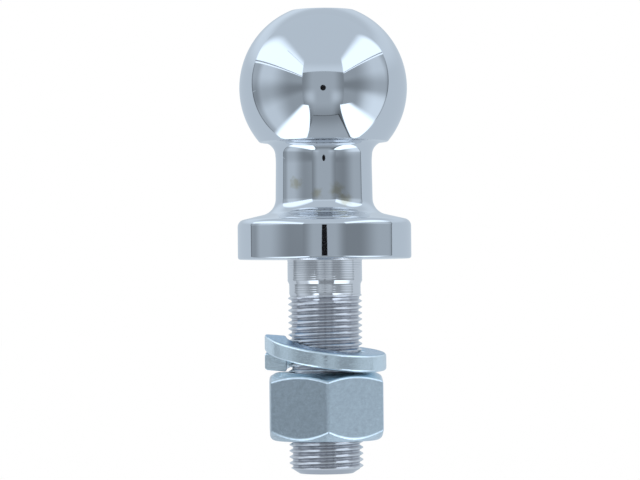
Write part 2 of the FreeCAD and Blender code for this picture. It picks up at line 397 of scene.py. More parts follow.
@dataclass
class BallStud:
    """The chromed ball, neck, flange and threaded shank, turned from one forging."""

    ball_radius: float = 25.0 * MM
    ball_height: float = 51.0 * MM
    flat_radius: float = 9.5 * MM
    flat_rounding: float = 0.35 * MM
    skirt_radius: float = 19.13 * MM
    skirt_rounding: float = 0.5 * MM
    neck_radius: float = 14.4 * MM
    neck_taper: float = 0.12 * MM
    neck_flare_height: float = 29.3 * MM
    neck_flare_angle: float = 4.5
    neck_flare_rounding: float = 27.0 * MM
    neck_top_fillet: float = 4.0 * MM
    neck_foot_fillet: float = 4.9 * MM
    flange_radius: float = 25.85 * MM
    flange_rim: float = 11.45 * MM
    flange_slope: float = 13.0
    flange_top_rounding: float = 2.2 * MM
    flange_bottom_rounding: float = 0.7 * MM
    shoulder_radius: float = 11.1125 * MM
    shoulder_length: float = 6.4 * MM
    shoulder_fillet: float = 0.5 * MM
    relief_radius: float = 10.65 * MM
    relief_start: float = 7.45 * MM
    relief_end: float = 10.15 * MM
    run_out: float = 2.6 * MM
    lead_in: float = 0.9 * MM
    shank_length: float = 63.7 * MM
    end_chamfer_width: float = 3.0 * MM
    end_chamfer_height: float = 1.9 * MM
    tool_mark_pitch: float = 0.68 * MM
    tool_mark_depth: float = 0.05 * MM
    relief_foot_rounding: float = 0.6 * MM
    relief_foot_margin: float = 0.25 * MM
    relief_top_rounding: float = 0.1 * MM
    shoulder_foot_rounding: float = 0.15 * MM
    shoulder_foot_margin: float = 0.3 * MM
    fillet_bend: float = 0.28 * MM
    fillet_bend_width: float = 0.02 * MM
    fillet_bend_rounding: float = 0.2 * MM
    fillet_margin: float = 0.05 * MM
    core_inset: float = 0.1 * MM
    core_tip_height: float = 1.5 * MM
    core_tip_width: float = 1.0 * MM
    end_rounding: float = 0.25 * MM
    lead_in_step: float = 0.05 * MM
    facets: int = 192
    body: str = "ball_stud"
    thread: ScrewForm = ScrewForm(crest_radius=11.0 * MM, root_radius=9.95 * MM)

    def ball_corners(self) -> list[Corner]:
        """Work out the ball's outline from its skirt up to the flat on its top.

        Returns:
            The corners.
        """
        first = math.asin(self.skirt_radius / self.ball_radius)
        last = math.asin(self.flat_radius / self.ball_radius)
        step = math.radians(1.5)
        low = math.pi - first
        count = round((low - last) / step)
        corners = []
        for number in range(count + 1):
            tilt = low + (last - low) * number / count
            radius = self.ball_radius * math.sin(tilt)
            height = self.ball_height + self.ball_radius * math.cos(tilt)
            corners.append(Corner(radius, height))
        skirt, flat = corners[0], corners[-1]
        corners[0] = Corner(skirt.radius, skirt.height, self.skirt_rounding, steps=6)
        corners[-1] = Corner(flat.radius, flat.height, self.flat_rounding, steps=5)
        return corners

    def turn_ball_and_flange(self) -> bpy.types.Object:
        """Turn the ball, the neck and the flange as one solid.

        Returns:
            The solid.
        """
        crown = self.flange_rim + (self.flange_radius - self.neck_radius) * math.tan(
            math.radians(self.flange_slope)
        )
        ball = self.ball_corners()
        underside = ball[0].height
        waist = self.neck_radius - self.neck_taper
        flare = (underside - self.neck_flare_height) * math.tan(math.radians(self.neck_flare_angle))
        corners = [
            Corner(0, 0),
            Corner(self.flange_radius, 0, self.flange_bottom_rounding, steps=6),
            Corner(self.flange_radius, self.flange_rim, self.flange_top_rounding, steps=14),
            Corner(self.neck_radius + self.neck_taper, crown, self.neck_foot_fillet, steps=18),
            Corner(waist, self.neck_flare_height, self.neck_flare_rounding, steps=10),
            Corner(waist + flare, underside, self.neck_top_fillet, steps=18),
            *ball,
            Corner(0, ball[-1].height),
        ]
        return turn_on_lathe("ball_and_flange", corners, self.facets)

    def marked_wall(self, radius: float, low: float, high: float) -> list[Corner]:
        """An upright wall from its foot up, waved by the turning tool.

        Args:
            radius: The wall's radius.
            low: Height of the wall's foot.
            high: Height that the wall doesn't pass.

        Returns:
            The wall's corners.
        """
        points_in_a_mark = 6
        marks = math.floor((high - low) / self.tool_mark_pitch)
        corners = []
        for number in range(marks * points_in_a_mark + 1):
            phase = FULL_TURN * number / points_in_a_mark
            dip = self.tool_mark_depth * (1 - math.cos(phase)) / 2
            height = low + number * self.tool_mark_pitch / points_in_a_mark
            corners.append(Corner(radius - dip, height))
        return corners

    def turn_shank_top(self) -> bpy.types.Object:
        """Turn the shoulder, the relief and the core in which the thread runs out.

        Returns:
            The solid.
        """
        core_end = -self.relief_end - self.run_out
        core_radius = self.thread.root_radius - self.core_inset
        tip = core_end - self.core_tip_height
        relief_foot, relief_top = -self.relief_end, -self.relief_start
        shoulder_foot = -self.shoulder_length
        relief_wall = self.marked_wall(self.relief_radius, self.relief_foot_margin + relief_foot, relief_top)
        shoulder_wall = self.marked_wall(
            self.shoulder_radius, self.shoulder_foot_margin + shoulder_foot, -self.shoulder_fillet
        )
        bend_radius = self.shoulder_radius + self.fillet_bend_width
        corners = [
            Corner(0, tip),
            Corner(core_radius - self.core_tip_width, tip),
            Corner(core_radius, core_end),
            Corner(self.relief_radius, relief_foot, self.relief_foot_rounding, steps=4),
            *relief_wall,
            Corner(self.relief_radius, relief_top, self.relief_top_rounding, steps=4),
            Corner(self.shoulder_radius, shoulder_foot, self.shoulder_foot_rounding, steps=4),
            *shoulder_wall,
            Corner(self.shoulder_radius, -self.shoulder_fillet - self.fillet_margin),
            Corner(bend_radius, -self.fillet_bend, self.fillet_bend_rounding, steps=3),
            Corner(self.shoulder_radius + self.shoulder_fillet, 0),
            Corner(0, 0),
        ]
        return turn_on_lathe("threaded_shank", corners, self.facets)

    def thread_limits(self) -> bpy.types.Object:
        """Turn the body inside which the thread lies: a cone at its lead-in and the end's chamfer.

        Returns:
            The body.
        """
        past_crest = 0.4 * MM
        clear = self.thread.crest_radius + past_crest
        slope = self.end_chamfer_height / self.end_chamfer_width
        end = -self.shank_length
        tip = self.thread.crest_radius - self.end_chamfer_width
        lead_slope = self.lead_in / (self.thread.crest_radius - self.relief_radius + self.lead_in_step)
        lead = -self.relief_end - (clear - self.relief_radius) * lead_slope
        corners = [
            Corner(0, end),
            Corner(tip, end, self.end_rounding, steps=4),
            Corner(clear, end + (clear - tip) * slope),
            Corner(clear, lead),
            Corner(self.relief_radius - self.lead_in_step, -self.relief_end),
            Corner(0, -self.relief_end),
        ]
        return turn_on_lathe("thread_limits", corners, self.facets)

    def cut_shank(self) -> bpy.types.Object:
        """Make the shank: the turned top joined to the threaded rod.

        Returns:
            The shank.
        """
        past_end = 1.0 * MM
        low, high = -self.shank_length - past_end, -self.relief_end + past_end
        rod = self.thread.rod("thread_rod", low, high)
        use_tool(rod, self.thread_limits(), Cut.KEEP_INSIDE)
        shank = self.turn_shank_top()
        use_tool(shank, rod, Cut.JOIN)
        knit(shank)
        return shank

    def build(self, chrome: bpy.types.Material, thread_chrome: bpy.types.Material) -> None:
        """Make both pieces of the stud and hand them over.

        Args:
            chrome: Polished finish of the ball, neck and flange.
            thread_chrome: Finish of the shank.
        """
        head = self.turn_ball_and_flange()
        finish_surface(head)
        hand_over(head, self.body, chrome)
        shank = self.cut_shank()
        finish_surface(shank)
        hand_over(shank, self.body, thread_chrome)


@dataclass
class SpringWasher:
    """The split washer: square bar with eased edges, coiled one turn to the left and leaning."""

    outer_radius: float = 18.1 * MM
    bore_radius: float = 11.55 * MM
    thickness: float = 5.0 * MM
    pitch: float = 6.0 * MM
    split_angle: float = 3.0
    edge_rounding: float = 0.8 * MM
    end_easing: float = 0.35 * MM
    side_lean: float = 1.6 * MM
    front_lean: float = 2.4 * MM
    most_sides_in_wall: int = 8
    top_shade_from: float = 0.8
    facets: int = 180
    body: str = "spring_washer"

    def section(self) -> list[Vector]:
        """Outline the bar's section at the -X side.

        Returns:
            The points of the closed outline.
        """
        rounding = {"rounding": self.edge_rounding, "steps": 6}
        middle = Corner(-self.bore_radius, self.thickness / 2)
        return rounded_outline(
            [
                middle,
                Corner(-self.bore_radius, self.thickness, **rounding),
                Corner(-self.outer_radius, self.thickness, **rounding),
                Corner(-self.outer_radius, 0, **rounding),
                Corner(-self.bore_radius, 0, **rounding),
                middle,
            ]
        )

    def coil(self) -> bpy.types.Object:
        """Coil the bar round the axis and close its two ends.

        Returns:
            The coil.
        """
        sweep = math.radians(360 - self.split_angle)
        bar = trace_outline("spring_washer_coil", self.section())
        with editing(bar):
            bpy.ops.mesh.remove_doubles(threshold=WELD)
        apply_modifier(
            bar,
            "SCREW",
            axis="Z",
            angle=-sweep,
            screw_offset=self.pitch * sweep / FULL_TURN,
            iterations=1,
            steps=self.facets,
            render_steps=self.facets,
            use_merge_vertices=False,
        )
        for angle in (math.pi, math.pi - sweep):
            across = Vector((-math.sin(angle), math.cos(angle), 0))
            outward = Vector((math.cos(angle), math.sin(angle), 0))

            def on_end(place: Vector, _: Vector) -> bool:
                """True for a vertex that lies in the end's own upright plane."""
                return abs(place.dot(across)) < WELD and place.dot(outward) > 0

            with editing(bar):
                pick(bar, "VERT", on_end)
                bpy.ops.mesh.edge_face_add()
        close_up(bar)
        return bar

    def ease_ends(self, bar: bpy.types.Object) -> None:
        """Break the sharp edges around the two cut ends."""
        with editing(bar):
            bpy.ops.mesh.select_mode(type="FACE")
            bpy.ops.mesh.select_all(action="DESELECT")
            bpy.ops.mesh.select_face_by_sides(number=self.most_sides_in_wall, type="GREATER")
            bpy.ops.mesh.region_to_loop()
            bpy.ops.mesh.bevel(offset=self.end_easing, segments=3, profile=0.5, clamp_overlap=True)

    def lean(self, bar: bpy.types.Object) -> None:
        """Lift each point in proportion to its place across the axis, and set the bar on the nut."""
        shear = Matrix.Identity(4)
        shear[2][0] = -self.side_lean / self.outer_radius
        shear[2][1] = self.front_lean / self.outer_radius
        bar.data.transform(shear)
        lowest = min(vertex.co.z for vertex in bar.data.vertices)
        bar.data.transform(Matrix.Translation((0, 0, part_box(self.body)[0].z - lowest)))

    def build(self, plate: bpy.types.Material, top_shade: bpy.types.Material) -> None:
        """Make the washer and hand it over.

        Args:
            plate: Finish of its walls and underside.
            top_shade: Darker, bluer copy of the plate for its upper faces, as painted shade.
        """
        bar = self.coil()
        self.ease_ends(bar)
        self.lean(bar)
        finish_surface(bar)
        hand_over(bar, self.body, plate)
        bar.data.materials.append(top_shade)
        # Painted shade: faces that look upwards take the darker, bluer copy of the zinc.
        with editing(bar):
            pick(bar, "FACE", lambda _, facing: facing.z > self.top_shade_from)
            bar.active_material_index = 1
            bpy.ops.object.material_slot_assign()


@dataclass
class HexNut:
    """The hexagon nut with turned chamfers, countersunk mouths and a tapped bore."""

    across_flats: float = 33.34 * MM
    top: float = -33.6 * MM
    height: float = 20.3 * MM
    twist: float = 2.0
    corner_rounding: float = 0.6 * MM
    top_face_radius: float = 14.6 * MM
    top_chamfer_angle: float = 30.0
    bottom_face_radius: float = 15.6 * MM
    bottom_chamfer_angle: float = 39.0
    edge_easing: float = 0.62 * MM
    countersink: float = 1.3 * MM
    facets: int = 144
    body: str = "hex_nut"
    tap: ScrewForm = ScrewForm(crest_radius=11.16 * MM, root_radius=10.11 * MM)

    def blank(self) -> bpy.types.Object:
        """Make a hexagonal bar with eased corners, a little longer than the nut at both ends.

        Returns:
            The bar.
        """
        spare = 1.0 * MM
        upright = 0.99
        bpy.ops.object.select_all(action="DESELECT")
        bpy.ops.mesh.primitive_cylinder_add(
            vertices=6, radius=self.across_flats / math.sqrt(3), depth=self.height + 2 * spare
        )
        bar = bpy.context.object
        bar.name = bar.data.name = "hex_nut_turned"
        with editing(bar):
            bpy.ops.transform.translate(value=(0, 0, self.top - self.height / 2))
            pick(bar, "EDGE", lambda _, run: abs(run.z) > upright)
            setback = self.corner_rounding * math.tan(math.radians(30))
            bpy.ops.mesh.bevel(offset=setback, segments=6, profile=0.5)
        bar.data.transform(Matrix.Rotation(math.radians(self.twist), 4, "Z"))
        return bar

    def turned_limits(self) -> bpy.types.Object:
        """Turn the body that gives the nut its two faces and their chamfers.

        Returns:
            The body.
        """
        past_corner = 1.0 * MM
        bottom = self.top - self.height
        clear = self.across_flats / math.sqrt(3) + past_corner
        drop = (clear - self.top_face_radius) * math.tan(math.radians(self.top_chamfer_angle))
        rise = (clear - self.bottom_face_radius) * math.tan(math.radians(self.bottom_chamfer_angle))
        corners = [
            Corner(0, bottom),
            Corner(self.bottom_face_radius, bottom),
            Corner(clear, bottom + rise),
            Corner(clear, self.top - drop),
            Corner(self.top_face_radius, self.top),
            Corner(0, self.top),
        ]
        return turn_on_lathe("nut_limits", corners, self.facets)

    def mouths(self) -> bpy.types.Object:
        """Turn the two countersinks as one waisted tool.

        Returns:
            The tool.
        """
        past_face = 0.5 * MM
        inside_bore = 0.2 * MM
        bottom = self.top - self.height
        wide = self.tap.root_radius + self.countersink + past_face
        narrow = self.tap.root_radius - inside_bore
        reach = wide - narrow
        corners = [
            Corner(0, bottom - past_face),
            Corner(wide, bottom - past_face),
            Corner(narrow, bottom - past_face + reach),
            Corner(narrow, self.top + past_face - reach),
            Corner(wide, self.top + past_face),
            Corner(0, self.top + past_face),
        ]
        return turn_on_lathe("nut_mouths", corners, self.facets)

    def build(self, plate: bpy.types.Material) -> None:
        """Make the nut and hand it over.

        Args:
            plate: Its finish.
        """
        past_face = 2.0 * MM
        sharp_over = 25.0
        nut = self.blank()
        use_tool(nut, self.turned_limits(), Cut.KEEP_INSIDE)
        apply_modifier(
            nut,
            "BEVEL",
            width=self.edge_easing,
            segments=4,
            limit_method="ANGLE",
            angle_limit=math.radians(sharp_over),
            use_clamp_overlap=False,
        )
        bottom = self.top - self.height
        tap = self.tap.rod("nut_tap", bottom - past_face, self.top + past_face)
        use_tool(nut, tap, Cut.TAKE_AWAY)
        use_tool(nut, self.mouths(), Cut.TAKE_AWAY)
        knit(nut)
        finish_surface(nut)
        hand_over(nut, self.body, plate)


class Sum:
    """A shader value that takes Python's operators, each of which adds a Math node."""

    def __init__(self, tree: "NodeBench", socket: bpy.types.NodeSocket) -> None:
        """Wrap a socket.

        Args:
            tree: The bench on which new nodes are put.
            socket: The value's output socket.
        """
        self.tree = tree
        self.socket = socket

    def _math(self, operation: str, *values: "Sum | float") -> "Sum":
        """One Math node's result."""
        inputs = dict(enumerate(values))
        return self.tree.node("ShaderNodeMath", {"operation": operation}, inputs)

    def __add__(self, other: "Sum | float") -> "Sum":
        """The sum."""
        return self._math("ADD", self, other)

    __radd__ = __add__

    def __sub__(self, other: "Sum | float") -> "Sum":
        """The difference."""
        return self._math("SUBTRACT", self, other)

    def __rsub__(self, other: "Sum | float") -> "Sum":
        """The difference, from a number."""
        return self._math("SUBTRACT", other, self)

    def __mul__(self, other: "Sum | float") -> "Sum":
        """The product."""
        return self._math("MULTIPLY", self, other)

    __rmul__ = __mul__

    def __truediv__(self, other: "Sum | float") -> "Sum":
        """The quotient."""
        return self._math("DIVIDE", self, other)

    def __neg__(self) -> "Sum":
        """The value with its sign changed."""
        return self._math("MULTIPLY", self, -1.0)

    def __abs__(self) -> "Sum":
        """The value without its sign."""
        return self._math("ABSOLUTE", self)

    def above(self, other: "Sum | float") -> "Sum":
        """The greater of the two."""
        return self._math("MAXIMUM", self, other)

    def beside(self, other: "Sum") -> "Sum":
        """The length of the slanting side over this and another at a right angle to it."""
        return self._math("SQRT", self * self + other * other)

    def angle_from(self, other: "Sum | float") -> "Sum":
        """The angle whose tangent is this over the other, in radians."""
        return self._math("ARCTAN2", self, other)

    def fade_to(self, other: "Sum | float", amount: "Sum | float") -> "Sum":
        """This value, given over to another by an amount from 0 to 1."""
        return self + (other - self) * amount

    def rise(self, low: "Sum | float", high: "Sum | float") -> "Sum":
        """A smooth step.

        Args:
            low: The value up to which the step is 0.
            high: The value from which it is 1.

        Returns:
            The step's height.
        """
        settings = {"interpolation_type": "SMOOTHSTEP"}
        inputs = {"Value": self, "From Min": low, "From Max": high}
        return self.tree.node("ShaderNodeMapRange", settings, inputs)

    def band(self, middle: float, half_width: float, soft: float) -> "Sum":
        """A smooth bump.

        Args:
            middle: The bump's middle.
            half_width: How far to each side it is 1.
            soft: How much further it takes to fall to 0.

        Returns:
            The bump's height.
        """
        return 1 - abs(self - middle).rise(half_width, half_width + soft)


class NodeBench:
    """Adds nodes to one material's or world's tree."""

    def __init__(self, tree: bpy.types.NodeTree) -> None:
        """Clear the tree.

        Args:
            tree: The node tree to build in.
        """
        self.nodes = tree.nodes
        self.links = tree.links
        self.nodes.clear()

    def node(
        self,
        kind: str,
        settings: dict[str, object] | None = None,
        inputs: dict[str | int, object] | None = None,
        output: str | int = 0,
    ) -> Sum:
        """Add any node.

        Args:
            kind: The node's type.
            settings: Its properties, set first.
            inputs: Values or links for its sockets, by name or number.
            output: The output to return.

        Returns:
            The wrapped output.
        """
        node = self.nodes.new(kind)
        for name, value in (settings or {}).items():
            setattr(node, name, value)
        for key, value in (inputs or {}).items():
            if isinstance(value, Sum):
                self.links.new(value.socket, node.inputs[key])
            else:
                node.inputs[key].default_value = value
        return Sum(self, node.outputs[output])

    def finish(self, shader: Sum, kind: str = "ShaderNodeOutputMaterial") -> None:
        """Send a shader to the tree's output node.

        Args:
            shader: The shader.
            kind: The output node's type.
        """
        output = self.nodes.new(kind)
        self.links.new(shader.socket, output.inputs["Surface"])

    def split(self, vector: Sum) -> tuple[Sum, Sum, Sum]:
        """The three parts of a vector."""
        first = self.node("ShaderNodeSeparateXYZ", None, {0: vector})
        return tuple(Sum(self, socket) for socket in first.socket.node.outputs)

    def noise(self, place: Sum, scale: float, detail: float = 3.0) -> Sum:
        """A noise value about 0.5.

        Args:
            place: The coordinates it lies on.
            scale: How fine it is, per metre.
            detail: How many finer layers it has.

        Returns:
            The noise.
        """
        inputs = {"Vector": place, "Scale": scale, "Detail": detail}
        return self.node("ShaderNodeTexNoise", None, inputs)

    def blend(self, amount: Sum, first: Sequence[float] | Sum, second: Sequence[float] | Sum) -> Sum:
        """A colour between two colours.

        Args:
            amount: 0 for the first colour and 1 for the second.
            first: The first colour.
            second: The second colour.

        Returns:
            The colour.
        """
        inputs = {"Factor": amount, 6: first, 7: second}
        return self.node("ShaderNodeMix", {"data_type": "RGBA"}, inputs, output=2)


@dataclass(frozen=True)
class Plating:
    """A plated metal surface.

    Args:
        name: The material's name.
        colour: Colour of the metal.
        roughness: Mean roughness.
        mottle: How much the roughness wanders.
        mottle_scale: Size of the mottling, as a noise scale per metre.
    """

    name: str
    colour: Colour
    roughness: float
    mottle: float
    mottle_scale: float

    def material(self) -> bpy.types.Material:
        """Make the material.

        Returns:
            The material.
        """
        material = bpy.data.materials.new(self.name)
        material.use_nodes = True
        bench = NodeBench(material.node_tree)
        place = bench.node("ShaderNodeTexCoord", output="Object")
        mottling = bench.noise(place, self.mottle_scale)
        inputs: dict[str | int, object] = {
            "Base Color": self.base_colour(bench, place),
            "Metallic": 1.0,
            "Roughness": self.roughness + (mottling - 0.5) * self.mottle,
        }
        normal = self.relief(bench, place)
        if normal is not None:
            inputs["Normal"] = normal
        shader = bench.node("ShaderNodeBsdfPrincipled", None, inputs)
        bench.finish(shader)
        return material

    def base_colour(self, bench: NodeBench, place: Sum) -> Sum | Colour:
        """The metal's colour over the surface."""
        return self.colour

    def relief(self, bench: NodeBench, place: Sum) -> Sum | None:
        """Fine relief of the surface, if it has any."""
        return None


@dataclass(frozen=True)
class HandledZinc(Plating):
    """Zinc plate that has been handled: cloudy, with duller patches and fine scratches, and painted shade on
    its -X side when a shaded side is set.

    Args:
        dull_and_shade: Share of the colour left in the dullest patches and in the painted shade of the -X
            side.
        shaded_side: How much of the darkening is painted shade on the -X side alone.
        shaded_side_edge: Places across between which that side's painted shade ends.
        cloud_scales: Scales of the coarse and the fine clouds, over the mottling's.
        coarse_detail: How many finer layers the coarse clouds have.
        cloud_limits: Noise values of the dullest and the brightest plate.
        scratch_slants: Slants of the two sets of scratches, in degrees.
        scratch_scale: Noise scale across the scratches, per metre.
        scratch_detail: How many finer layers they have.
        scratch_stretch: Scale along the scratches, over that across them.
        scratch_width: Half a scratch's width, as a change of the noise.
        scratch_strength: Share of the relief that shows.
        scratch_depth: Height of the relief.
    """

    dull_and_shade: float = 0.8
    shaded_side: float = 0.0
    shaded_side_edge: Span = (-0.3 * MM, 0.6 * MM)
    cloud_scales: Span = (3.0, 9.0)
    coarse_detail: float = 5.0
    cloud_limits: Span = (0.35, 0.65)
    scratch_slants: Span = (24.0, -58.0)
    scratch_scale: float = 2600.0
    scratch_detail: float = 2.0
    scratch_stretch: float = 0.09
    scratch_width: float = 0.035
    scratch_strength: float = 0.35
    scratch_depth: float = 0.03 * MM

    def base_colour(self, bench: NodeBench, place: Sum) -> Sum | Colour:
        """Cloud the plate's colour in patches of two sizes, and darken the -X side with painted shade.

        Args:
            bench: The material's node bench.
            place: The object's coordinates.

        Returns:
            The colour.
        """
        coarse_scale, fine_scale = self.cloud_scales
        coarse = bench.noise(place, self.mottle_scale * coarse_scale, self.coarse_detail)
        fine = bench.noise(place, self.mottle_scale * fine_scale)
        across, _, _ = bench.split(place)
        clouds_and_side_shade = (coarse * 0.5 + fine * 0.5).rise(*self.cloud_limits) * (1 - self.shaded_side)
        # Painted shade: the -X side takes the darkened colour, which fades out towards +X across the axis.
        clouds_and_side_shade = clouds_and_side_shade + across.rise(*self.shaded_side_edge) * self.shaded_side
        red, green, blue, _ = self.colour
        dulled_and_shaded = (red * self.dull_and_shade, green * self.dull_and_shade, blue * self.dull_and_shade, 1.0)
        return bench.blend(clouds_and_side_shade, dulled_and_shaded, self.colour)

    def relief(self, bench: NodeBench, place: Sum) -> Sum | None:
        """Scratch the faces finely at two slants.

        Args:
            bench: The material's node bench.
            place: The object's coordinates.

        Returns:
            The normal.
        """
        height: Sum | float = 0.0
        for slant in self.scratch_slants:
            rotation = (0, math.radians(slant), 0)
            stretch = (self.scratch_stretch, 1.0, 1.0)
            inputs = {"Vector": place, "Rotation": rotation, "Scale": stretch}
            turned = bench.node("ShaderNodeMapping", None, inputs)
            lines = bench.noise(turned, self.scratch_scale, self.scratch_detail)
            height = height + (1 - abs(lines - 0.5).rise(0.0, self.scratch_width)) * 0.5
        inputs = {"Strength": self.scratch_strength, "Distance": self.scratch_depth, "Height": height}
        return bench.node("ShaderNodeBump", None, inputs)


@dataclass(frozen=True)
class StainedChrome(Plating):
    """Polished chrome with four faint brown blots low on the front of the neck.

    Args:
        stain_colour: Colour of a full stain.
        blots: Place to the right, height and radius of each blot, in millimetres.
        blot_core: Where a blot starts to fade, as a share of its radius.
        blot_reach: Where it is gone, as a share of its radius.
        blot_strength: Share of the stain's colour in a blot.
        ragged_scale: Noise scale of a blot's ragged edge.
        ragged_detail: How many finer layers the edge has.
        ragged_depth: How far the edge wanders, in millimetres.
        front: Depths between which the blots fade, towards the back.
    """

    stain_colour: Colour = (0.44, 0.38, 0.19, 1.0)
    blots: tuple[tuple[float, float, float], ...] = (
        (-8.2, 22.4, 1.6),
        (-2.2, 19.3, 1.4),
        (3.8, 20.2, 1.9),
        (6.2, 17.2, 1.8),
    )
    blot_core: float = 0.2
    blot_reach: float = 1.5
    blot_strength: float = 0.5
    ragged_scale: float = 700.0
    ragged_detail: float = 6.0
    ragged_depth: float = 3.2
    front: Span = (-8.0 * MM, -4.0 * MM)

    def base_colour(self, bench: NodeBench, place: Sum) -> Sum | Colour:
        """Brown the chrome in the blots.

        Args:
            bench: The material's node bench.
            place: The object's coordinates.

        Returns:
            The colour.
        """
        across, depth, height = bench.split(place)
        edge = bench.noise(place, self.ragged_scale, self.ragged_detail)
        ragged = (edge - 0.5) * self.ragged_depth * MM
        stain: Sum | float = 0.0
        for x, z, radius in self.blots:
            distance = (across - x * MM).beside(height - z * MM) + ragged
            full, gone = self.blot_core * radius * MM, self.blot_reach * radius * MM
            stain = stain + (1 - distance.rise(full, gone)) * self.blot_strength
        front = 1 - depth.rise(*self.front)
        return bench.blend(stain * front, self.colour, self.stain_colour)


@dataclass(frozen=True)
class ThreadChrome(Plating):
    """Chrome of the shank, with painted shade that darkens its colour into the thread's grooves.

    Args:
        groove_shade_colour: Colour of the painted shade at the bottom of the grooves.
        groove_radius: Radius at which the painted shade is full.
        crest_radius: Radius at which it is gone.
        top: Height below which the thread lies.
        top_fade: How far above it the painted shade reaches.
    """

    groove_shade_colour: Colour = (0.58, 0.58, 0.61, 1.0)
    groove_radius: float = 10.0 * MM
    crest_radius: float = 10.7 * MM
    top: float = -11.0 * MM
    top_fade: float = 1.0 * MM

    def base_colour(self, bench: NodeBench, place: Sum) -> Sum | Colour:
        """Paint shade on the chrome, darker into the grooves.

        Args:
            bench: The material's node bench.
            place: The object's coordinates.

        Returns:
            The colour.
        """
        across, depth, height = bench.split(place)
        # Painted shade: the colour darkens from the crests down into the grooves, and is gone above the
        # thread.
        on_crest = across.beside(depth).rise(self.groove_radius, self.crest_radius)
        above_thread = height.rise(self.top, self.top + self.top_fade)
        return bench.blend(on_crest.above(above_thread), self.groove_shade_colour, self.colour)


def matt(name: str, colour: Colour) -> bpy.types.Material:
    """Make a plain matt material.

    Args:
        name: The material's name.
        colour: Its colour.

    Returns:
        The material.
    """
    material = bpy.data.materials.new(name)
    material.use_nodes = True
    bench = NodeBench(material.node_tree)
    bench.finish(bench.node("ShaderNodeBsdfDiffuse", None, {"Color": colour}))
    return material


@dataclass
class PhotoCamera:
    """The photograph's camera, placed from the object's own scale and lean in the picture.

    Pixels are those of the 640 by 480 photograph, with y counted down.
    """

    picture_width: float = 640.0
    picture_height: float = 480.0
    distance: float = 900.0 * MM
    height: float = -9.84 * MM
    pixels_per_metre: float = 3355.0
    axis_x: float = 324.95
    horizon_y: float = 292.0
    lean: float = 0.52
    sensor: float = 36.0
    nearest: float = 0.05
    furthest: float = 20.0

    def build(self) -> bpy.types.Object:
        """Make the camera and hand it to the scene.

        Returns:
            The camera.
        """
        focal = self.pixels_per_metre * self.distance
        data = bpy.data.cameras.new("photo_camera")
        data.sensor_width = self.sensor
        data.lens = focal / self.picture_width * self.sensor
        data.clip_start, data.clip_end = self.nearest, self.furthest
        right = self.axis_x - self.picture_width / 2
        up = self.picture_height / 2 - self.horizon_y
        inward = Vector((right, up, -focal)).normalized()
        roll = math.radians(self.lean)
        upward = Vector((-math.sin(roll), math.cos(roll), 0))
        upward = (upward - inward * upward.dot(inward)).normalized()
        sideways = inward.cross(upward)
        camera = bpy.data.objects.new("photo_camera", data)
        camera.matrix_world = Matrix.Translation((0, -self.distance, self.height)) @ Matrix(
            (sideways, inward, upward)
        ).to_4x4()
        bpy.context.collection.objects.link(camera)
        bpy.context.scene.camera = camera
        return camera


@dataclass(frozen=True)
class Gaze:
    """Where a mirrored ray looks, in the measures in which the tent's parts are laid out.

    Args:
        x: The direction's part to the right.
        y: Its part away from the viewer.
        z: Its part upwards.
        side: Its part to either side, never quite 0.
        right: 1 on the right half and 0 on the left.
        turn: Degrees away from the viewer, to either side.
        tilt: Degrees above the horizon.
        wall: Height on a side wall, over the wall's distance.
        floor_x: Place across the floor, over the floor's depth.
        floor_y: Place along the floor, over the floor's depth.
        below: 1 below the horizon.
    """

    x: Sum
    y: Sum
    z: Sum
    side: Sum
    right: Sum
    turn: Sum
    tilt: Sum
    wall: Sum
    floor_x: Sum
    floor_y: Sum
    below: Sum

    @classmethod
    def of_ray(cls, bench: NodeBench) -> "Gaze":
        """Read the ray's direction from the world.

        Args:
            bench: The world's node bench.

        Returns:
            The direction in all its measures.
        """
        least = 0.01
        x, y, z = bench.split(bench.node("ShaderNodeTexCoord", output="Generated"))
        side = abs(x).above(least)
        depth = abs(z).above(least)
        return cls(
            x=x,
            y=y,
            z=z,
            side=side,
            right=x.rise(-least, least),
            turn=side.angle_from(-y) * math.degrees(1),
            tilt=z.angle_from(x.beside(y)) * math.degrees(1),
            wall=z / side,
            floor_x=x / depth,
            floor_y=y / depth,
            below=1 - z.rise(-2 * least, 0.0),
        )


@dataclass(frozen=True)
class FrontWall:
    """The grey cloth around the lens, glowing faintly at two places, and the pale ceiling above it."""

    level: float = 0.36
    edge_loss: float = 0.15
    edge_turns: Span = (13.0, 29.0)
    glow: float = 0.15
    glow_turn: float = 20.0
    glow_tilt: float = -15.0
    glow_core: float = 1.0
    glow_spread: float = 12.0
    foot_loss: float = 0.10
    foot_tilts: Span = (22.0, 42.0)
    top_slope: float = 0.345
    top_softness: float = 0.006
    ceiling: float = 0.50
    ceiling_glow: float = 0.09
    glow_start: float = 10.0
    glow_peak: float = 20.0
    glow_end: float = 32.0

    def shade(self, gaze: Gaze) -> Sum:
        """The level ahead of the object.

        Args:
            gaze: Where the ray looks.

        Returns:
            The level of the wall and, above it, of the ceiling.
        """
        wall = self.level - self.edge_loss * gaze.turn.rise(*self.edge_turns)
        spot = gaze.turn.band(self.glow_turn, self.glow_core, self.glow_spread)
        spot = spot * gaze.tilt.band(self.glow_tilt, self.glow_core, self.glow_spread)
        wall = wall + self.glow * spot - self.foot_loss * (-gaze.tilt).rise(*self.foot_tilts)
        risen = gaze.tilt.rise(self.glow_start, self.glow_peak)
        sinking = 1 - gaze.tilt.rise(self.glow_peak, self.glow_end)
        ceiling = self.ceiling + self.ceiling_glow * sinking * risen
        over_wall = (gaze.z + self.top_slope * gaze.y).rise(-self.top_softness, self.top_softness)
        return wall.fade_to(ceiling, over_wall)


